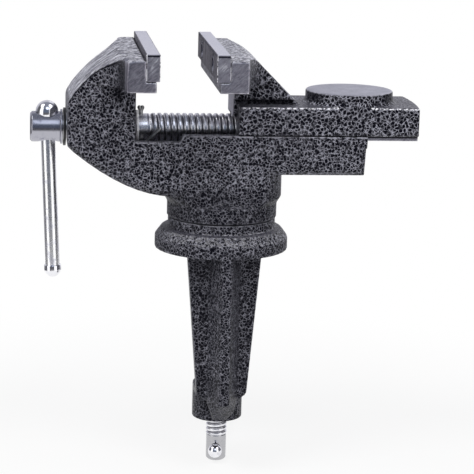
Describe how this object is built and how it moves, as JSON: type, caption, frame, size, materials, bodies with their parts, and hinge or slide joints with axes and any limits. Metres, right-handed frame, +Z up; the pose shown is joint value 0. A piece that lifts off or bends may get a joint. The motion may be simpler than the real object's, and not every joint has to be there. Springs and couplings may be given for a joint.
{
  "type": "clamp-on bench vise",
  "caption": "Small clamp-on bench vise: head casting that swivels on a C-clamp foot, sliding jaw with a round anvil, screw spindle with a sliding bar handle, toothed jaw plates.",
  "frame": {"origin": "centre of the swivel on the table surface that the foot stands on", "axes": "+X the way the sliding jaw opens, +Y away from the user towards the table, +Z up"},
  "size_m": [0.172, 0.0978, 0.1924],
  "materials": {
    "hammertone": "black and silver hammertone paint, glossy",
    "ground_steel": "ground with fine diagonal marks",
    "zinc": "bright zinc plate, turned",
    "black_steel": "blackened steel, dull",
    "cast_iron": "bare cast iron, dull"
  },
  "bodies": {
    "base": {"clamp_base": "hammertone"},
    "lock": {"swivel_lock_screw": "zinc"},
    "head": {"head_casting": "hammertone", "fixed_jaw_plate": "ground_steel", "fixed_plate_screw_front": "zinc", "fixed_plate_screw_rear": "zinc"},
    "jaw": {"sliding_jaw": "hammertone", "sliding_jaw_plate": "ground_steel", "sliding_plate_screw_front": "zinc", "sliding_plate_screw_rear": "zinc", "spindle_nut": "cast_iron", "nut_screw_1": "black_steel", "nut_screw_2": "black_steel", "nut_screw_3": "black_steel", "nut_screw_4": "black_steel"},
    "screw": {"spindle": "zinc", "thrust_washer": "black_steel", "retaining_washer": "black_steel", "split_pin": "zinc"},
    "handle": {"handle_bar": "zinc", "handle_ball": "zinc", "handle_cap": "zinc"},
    "pad": {"clamp_pad": "zinc"},
    "clamp": {"clamp_screw": "zinc"},
    "clamp_handle": {"clamp_bar": "zinc", "clamp_ball_front": "zinc", "clamp_ball_rear": "zinc"}
  },
  "joints": [
    {"name": "lock_turn", "type": "hinge", "parent": "base", "child": "lock", "pos_m": [0, 0.03, 0.0072], "axis": [0, 1, 0], "range_deg": [-180, 180]},
    {"name": "head_swivel", "type": "hinge", "parent": "base", "child": "head", "pos_m": [0, 0, 0.0145], "axis": [0, 0, 1], "continuous": true},
    {"name": "spindle_turn", "type": "hinge", "parent": "head", "child": "screw", "pos_m": [-0.07, 0, 0.0542], "axis": [1, 0, 0], "range_deg": [-3601, 3048]},
    {"name": "jaw_slide", "type": "slide", "parent": "head", "child": "jaw", "axis": [1, 0, 0], "range_m": [-0.0237, 0.028]},
    {"name": "handle_slide", "type": "slide", "parent": "screw", "child": "handle", "axis": [-0.041, 0, 0.9992], "range_m": [0, 0.055]},
    {"name": "clamp_slide", "type": "slide", "parent": "base", "child": "pad", "axis": [0, 0, 1], "range_m": [-0.038, 0.0085]},
    {"name": "clamp_turn", "type": "hinge", "parent": "pad", "child": "clamp", "pos_m": [0, 0, -0.0234], "axis": [0, 0, 1], "range_deg": [-6515, 1458]},
    {"name": "clamp_bar_slide", "type": "slide", "parent": "clamp", "child": "clamp_handle", "axis": [-0.1564, -0.9877, 0], "range_m": [0, 0.042]}
  ],
  "couplings": [
    {"joint": "spindle_turn", "follows": "jaw_slide", "rad_per_m": -2244},
    {"joint": "clamp_turn", "follows": "clamp_slide", "rad_per_m": 2992}
  ]
}
